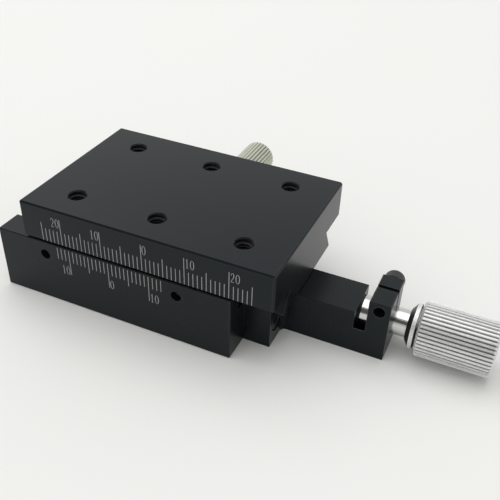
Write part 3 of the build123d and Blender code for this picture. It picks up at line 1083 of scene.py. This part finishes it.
@dataclass
class SlideBase:
    """The base: body, gib, its screws, and the index scale on its front."""

    rule: ScaleRule = ScaleRule(
        13, -1, (0, 10, -10), whole=6.5 * MM, half=4.3 * MM, single=3.0 * MM
    )
    edge: float = 0.4 * MM
    number_drop: float = 0.2 * MM
    set_screw: SocketScrew = SocketScrew(
        thread=2.5 * MM, pitch=0.45 * MM, key=1.27 * MM, edge=0.2 * MM
    )

    def build(self) -> None:
        """Dresses the base's nodes and adds its scale and set screws."""
        dress(base_body=BLACK_ANODISED, gib_strip=GIB_BRASS)
        self._scale()
        self.set_screw.stand_for("gib_screws", "gib_set_screws", Body.BASE, -ALONG_Y, pair=True)

    def _scale(self) -> None:
        """Engraves the index scale below the base's upper edge."""
        low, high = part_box("base_body")
        face = ScaleFace(low.y)
        top = high.z - self.edge
        face.scale(self.rule, 0.0, top, top - self.rule.whole - self.number_drop)
        face.shell.piece("base_scale", Body.BASE, Slot.ANODISED, ENGRAVING)


@dataclass
class SlideTable:
    """The table: plate with its dovetail, threaded holes, nut and the moving scale."""

    scale_shift: float = 0.35 * MM
    rule: ScaleRule = ScaleRule(
        25, 1, (-20, -10, 0, 10, 20), whole=6.6 * MM, half=4.6 * MM, single=3.3 * MM
    )
    edge: float = 0.4 * MM
    plate: float = 9 * MM
    hole_pitch: float = 0.7 * MM
    hole_depth: float = 7.5 * MM
    hole_chamfer: float = 0.25 * MM
    thread_depth: float = 0.36 * MM

    def build(self) -> None:
        """Dresses the table's nodes and adds its scale and threads."""
        dress(table_top=BLACK_ANODISED, feed_nut=NUT_BRASS, nut_screws=BLACK_STEEL)
        self._scale()
        self._threads()

    def _scale(self) -> None:
        """Engraves the millimetre scale above the plate's lower edge."""
        low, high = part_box("table_top")
        face = ScaleFace(low.y)
        foot = high.z - self.plate + self.edge
        zero = (low.x + high.x) / 2 + self.scale_shift
        face.scale(self.rule, zero, foot, foot + self.rule.whole - face.style.height)
        face.shell.piece("table_scale", Body.TABLE, Slot.ANODISED, ENGRAVING)

    def _threads(self) -> None:
        """Cuts the look of a thread into each of the six tapped holes."""
        patterns = {mount["name"]: mount for mount in frame["record"]["mounts"]}
        corner, middle = patterns["table_corner_holes"], patterns["table_middle_holes"]
        centre, sizes = Vector(corner["pos_m"]), corner["dims"]
        radius = sizes["hole_r_mm"] * MM
        across = middle["dims"]["spacing_y_mm"] * MM / 2
        reach = sizes["spacing_x_mm"] * MM / 2
        ridge = ThreadRidge(
            crest=radius - self.thread_depth,
            root=radius,
            pitch=self.hole_pitch,
            low=-self.hole_depth,
            high=-self.hole_chamfer,
            steps=28,
        ).shell()
        threads = Shell()
        for x in (-reach, 0.0, reach):
            for y in (-across, across):
                shift = Matrix.Translation(centre + Vector((x, y, 0)))
                threads = threads.joined(ridge.placed(shift))
        # The threads carry the painted shade of the holes.
        threads.piece("table_hole_threads", Body.TABLE, Slot.ANODISED, SHADE_DARKENED_THREAD)


@dataclass
class FeedKnob:
    """The feed knob along X: hub cone, plain ring, groove and straight-knurled grip, with painted
    shade on the hub cone, the ring's inner side and the groove.
    """

    bore: float
    hub_length: float = 0.42 * MM
    hub_radius: float = 3.4 * MM
    rim_start: float = 0.64 * MM
    rim_radius: float = 4.92 * MM
    groove_start: float = 1.46 * MM
    groove_end: float = 1.92 * MM
    groove_radius: float = 4 * MM
    # How far the groove's painted shade runs past the groove onto the grip.
    groove_oil: float = 0.1 * MM
    grip_radius: float = 5.35 * MM
    lead_in: float = 0.5 * MM
    end_bevel: float = 0.6 * MM
    flutes: int = 42
    flute_depth: float = 0.42 * MM
    recess_radius: float = 2.9 * MM
    recess_depth: float = 3.4 * MM
    screw_hole: float = 1.6 * MM
    socket: float = 11 * MM

    def build(self) -> None:
        """Stands for the plain knob, with painted shade on its hub cone, inner rim and groove."""
        low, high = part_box("knob")
        radius, length = (high.z - low.z) / 2, high.x - low.x
        rings = [self._ring(radius, *corner) for corner in self._corners(radius, length)]
        knob = Shell()
        knob.add_rings(rings, closed=True)
        # Painted shade: dark bands over the hub cone and inner rim, and over the groove.
        bands = (
            (low.x - 2 * self.hub_length, low.x + self.rim_start),
            (low.x + self.groove_start, low.x + self.groove_end + self.groove_oil),
        )
        band_shaded = replace(NICKEL_KNURL, name="band_shaded_nickel_knurl", bands=bands)
        placed = knob.placed(seat_through("knob", ALONG_X, low.x))
        placed.piece("knurled_feed_knob", Body.SPINDLE, Slot.NICKEL_KNURL, band_shaded, "knob")

    def _corners(self, radius: float, length: float) -> list[tuple[float, float]]:
        """Lists the corners of the knob's section.

        Args:
            radius: The knob's radius over the knurl.
            length: The knob's length without its hub.

        Returns:
            The radius and the height of each corner, in order round the section.
        """
        grip = [i / 4 for i in range(5)]
        rise, drop = radius - self.grip_radius, self.end_bevel
        floor = length - self.recess_depth
        return [
            (self.bore, -self.hub_length),
            (self.hub_radius, -self.hub_length),
            (self.rim_radius, self.rim_start),
            (self.rim_radius, self.groove_start),
            (self.groove_radius, self.groove_start),
            (self.groove_radius, self.groove_end),
            *((self.grip_radius + rise * t, self.groove_end + self.lead_in * t) for t in grip),
            *((radius - drop * t, length - drop * (1 - t)) for t in grip),
            (self.recess_radius, length),
            (self.recess_radius, floor),
            (self.screw_hole, floor),
            (self.screw_hole, self.socket),
            (self.bore, self.socket),
        ]

    def _ring(self, radius: float, reach: float, height: float) -> list[Point]:
        """Runs once round the knob at one corner of its section, following the flutes.

        Args:
            radius: The knob's radius over the knurl.
            reach: The corner's radius.
            height: The corner's height.

        Returns:
            The ring's points.
        """
        outline = ((-0.2, 0.0), (0.0, 0.0), (0.2, 0.0), (0.35, 0.5), (0.5, 1.0), (0.65, 0.5))
        cut = [(share, min(reach, radius - self.flute_depth * depth)) for share, depth in outline]
        return [
            polar(reached, TURN * (i + share) / self.flutes, height)
            for i in range(self.flutes)
            for share, reached in cut
        ]


@dataclass
class FeedDrive:
    """The feed screw, its bracket, thrust collar, knob and their screws."""

    screw_radius: float = 3 * MM
    root_radius: float = 2.42 * MM
    ring_groove: float = 2.4 * MM
    pitch: float = 1 * MM
    tip_chamfer: float = 0.4 * MM
    play: float = 0.03 * MM
    knob_play: float = 0.05 * MM
    points: int = 56
    cap_screw: SocketScrew = SocketScrew(
        thread=3 * MM, pitch=0.5 * MM, key=2.5 * MM, head_radius=2.75 * MM, head_height=3 * MM
    )
    clamp_screw: SocketScrew = SocketScrew(
        thread=2.5 * MM, pitch=0.45 * MM, key=2 * MM, head_radius=2.25 * MM, head_height=2.5 * MM
    )

    def build(self) -> None:
        """Dresses the drive's nodes and adds its knob, its threaded screw and its cap screws."""
        dress(
            screw_bracket=BLACK_ANODISED,
            thrust_collar=GROUND_STEEL,
            retaining_ring=SPRING_STEEL,
            collar_set_screw=BLACK_STEEL,
            # The thrust washers' near-black colour is painted shade.
            thrust_washers=SHADE_DARKENED_WASHERS,
        )
        FeedKnob(bore=self.screw_radius + self.knob_play).build()
        self._feed_screw()
        self.cap_screw.stand_for(
            "bracket_screws", "bracket_cap_screws", Body.BASE, ALONG_X, pair=True
        )
        self.cap_screw.stand_for("knob_fixing_screw", "knob_cap_screw", Body.SPINDLE, ALONG_X)
        self.clamp_screw.stand_for(
            "spindle_clamp_screw", "ear_clamp_screw", Body.EAR_CLAMP, ALONG_Y
        )

    def _feed_screw(self) -> None:
        """Replaces the plain feed screw with one that has its metric thread."""
        low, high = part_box("feed_screw")
        ring_low, ring_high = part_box("retaining_ring")
        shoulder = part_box("base_body")[1].x
        root, crest = self.root_radius, self.screw_radius
        plan = [
            (root - self.tip_chamfer, low.x),
            (root, low.x + self.tip_chamfer / 2),
            (self.ring_groove, ring_low.x - self.play),
            (self.ring_groove, ring_high.x + self.play),
            (root, ring_high.x + 2 * self.play),
            (root, shoulder - self.pitch),
            (crest, shoulder - self.pitch / 2),
            (crest, high.x - self.tip_chamfer),
            (crest - self.tip_chamfer, high.x),
        ]
        screw = Shell()
        screw.turn(plan, self.points)
        start, end = ring_high.x + self.play, shoulder - self.pitch / 2
        screw = screw.joined(ThreadRidge(crest, root, self.pitch, start, end, steps=32).shell())
        placed = screw.placed(seat_through("feed_screw", ALONG_X, 0.0))
        placed.piece(
            "threaded_feed_screw", Body.SPINDLE, Slot.GROUND_STEEL, GROUND_STEEL, "feed_screw"
        )


@dataclass
class LockScrew:
    """The lock screw: stud, knob and the pad that it presses on the dovetail."""

    pitch: float = 0.5 * MM
    thread_depth: float = 0.3 * MM
    edge: float = 0.25 * MM
    points: int = 36

    def build(self) -> None:
        """Dresses the lock's nodes and gives its stud a thread."""
        dress(lock_knob=LOCK_NICKEL, lock_pad=PAD_BRASS)
        low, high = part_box("lock_stud")
        radius = (high.x - low.x) / 2
        root = radius - self.thread_depth
        plan = [
            (root - self.edge, low.y),
            (root, low.y + self.edge),
            (root, high.y - self.edge),
            (root - self.edge, high.y),
        ]
        stud = Shell()
        stud.turn(plan, self.points)
        stud = stud.joined(ThreadRidge(radius, root, self.pitch, low.y, high.y).shell())
        placed = stud.placed(seat_through("lock_stud", ALONG_Y, 0.0))
        placed.piece(
            "threaded_lock_stud", Body.LOCK_SCREW, Slot.GROUND_STEEL, LOCK_STEEL, "lock_stud"
        )


# ---------------------------------------------------------------- studio


@dataclass
class Studio:
    """A pale sheet under a broad lamp in a pale room."""

    sheet_size: float = 6.0
    lamp_place: Point = (-0.55, 0.15, 1.6)
    lamp_size: float = 1.95
    lamp_power: float = 15.6
    room_light: float = 0.74
    room_seen: float = 0.87
    dim_seen: float = 0.1
    dim_low: float = 0.25
    dim_high: float = 0.9
    dim_rise: float = 0.12
    dim_fall: float = 0.15
    front_full: float = -0.5
    front_end: float = -0.25

    def build(self) -> None:
        """Lays the sheet, hangs the lamp and lights the room."""
        self._sheet()
        self._lamp()
        self._room()
        bpy.context.scene.view_settings.view_transform = "Standard"

    def _sheet(self) -> None:
        """Lays the pale sheet at the height of the base's bottom face."""
        half = self.sheet_size / 2
        corners = [(-half, -half, 0.0), (half, -half, 0.0), (half, half, 0.0), (-half, half, 0.0)]
        mesh = bpy.data.meshes.new("pale_sheet")
        mesh.from_pydata(corners, [], [(0, 1, 2, 3)])
        sheet = bpy.data.objects.new("pale_sheet", mesh)
        bpy.context.scene.collection.objects.link(sheet)
        PAPER.dress([sheet])

    def _lamp(self) -> None:
        """Hangs one broad square lamp above and behind the stage."""
        light = bpy.data.lights.new("broad_lamp", "AREA")
        light.shape = "SQUARE"
        light.size = self.lamp_size
        light.energy = self.lamp_power
        lamp = bpy.data.objects.new("broad_lamp", light)
        lamp.location = self.lamp_place
        lamp.rotation_euler = (-Vector(self.lamp_place)).to_track_quat("-Z", "Y").to_euler()
        bpy.context.scene.collection.objects.link(lamp)

    def _room(self) -> None:
        """Lights everything from all round, and shows a pale room to the eye and to gloss."""
        world = bpy.data.worlds.new("pale_room")
        world.use_nodes = True
        bpy.context.scene.world = world
        sheet = NodeSheet(world.node_tree)
        path = sheet.add("ShaderNodeLightPath").outputs
        seen = sheet.maths("MAXIMUM", path["Is Camera Ray"], path["Is Glossy Ray"])
        seen = sheet.maths("MAXIMUM", seen, path["Is Transmission Ray"])
        white = {"Color": (1.0, 1.0, 1.0, 1.0), "Strength": self.room_light}
        looks = (white, {"Color": self._seen_room(sheet), "Strength": 1.0})
        lit, shown = (sheet.add("ShaderNodeBackground", inputs=look).outputs[0] for look in looks)
        mix = sheet.add("ShaderNodeMixShader", inputs={0: seen, 1: lit, 2: shown})
        sheet.add("ShaderNodeOutputWorld", inputs={"Surface": mix.outputs[0]})

    def _seen_room(self, sheet: NodeSheet) -> Socket:
        """Lays out what gloss sees of the room: pale walls, and a dim one in front of the stage.

        Args:
            sheet: The world's node sheet.

        Returns:
            The room's colour.
        """
        towards = sheet.axes(sheet.add("ShaderNodeTexCoord").outputs["Generated"])
        front = sheet.ramp(towards["Y"], 1.0, 0.0, self.front_full, self.front_end)
        above = sheet.ramp(towards["Z"], 0.0, 1.0, self.dim_low, self.dim_low + self.dim_rise)
        below = sheet.ramp(towards["Z"], 1.0, 0.0, self.dim_high - self.dim_fall, self.dim_high)
        dim = sheet.times(front, sheet.times(above, below))
        return sheet.blend(dim, (self.room_seen,) * 3, (self.dim_seen,) * 3)


@dataclass(frozen=True)
class Viewpoint:
    """A camera above the front of the stage, turned a little towards the knob's far side."""

    place: Point = (74.815 * MM, -117.654 * MM, 105.871 * MM)
    pitch: float = 54.322
    roll: float = -1.758
    heading: float = 24.512
    lens: float = 50.746
    film: float = 36.0
    clip_start: float = 5 * MM

    def build(self) -> None:
        """Sets the camera up and makes it the scene's own."""
        data = bpy.data.cameras.new("viewpoint")
        data.lens = self.lens
        data.sensor_width = self.film
        data.clip_start = self.clip_start
        camera = bpy.data.objects.new("viewpoint", data)
        turn = Euler([math.radians(a) for a in (self.pitch, self.roll, self.heading)], "XYZ")
        camera.matrix_world = Matrix.Translation(self.place) @ turn.to_matrix().to_4x4()
        bpy.context.scene.collection.objects.link(camera)
        bpy.context.scene.camera = camera


def main() -> None:
    """Builds the sub-assemblies in order, then the studio and the camera."""
    logging.basicConfig(level=logging.INFO, format="%(name)s: %(message)s")
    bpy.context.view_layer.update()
    for part in (SlideBase(), SlideTable(), FeedDrive(), LockScrew(), Studio(), Viewpoint()):
        part.build()
        LOG.info("built %s", type(part).__name__)


if __name__ == "__main__":
    main()
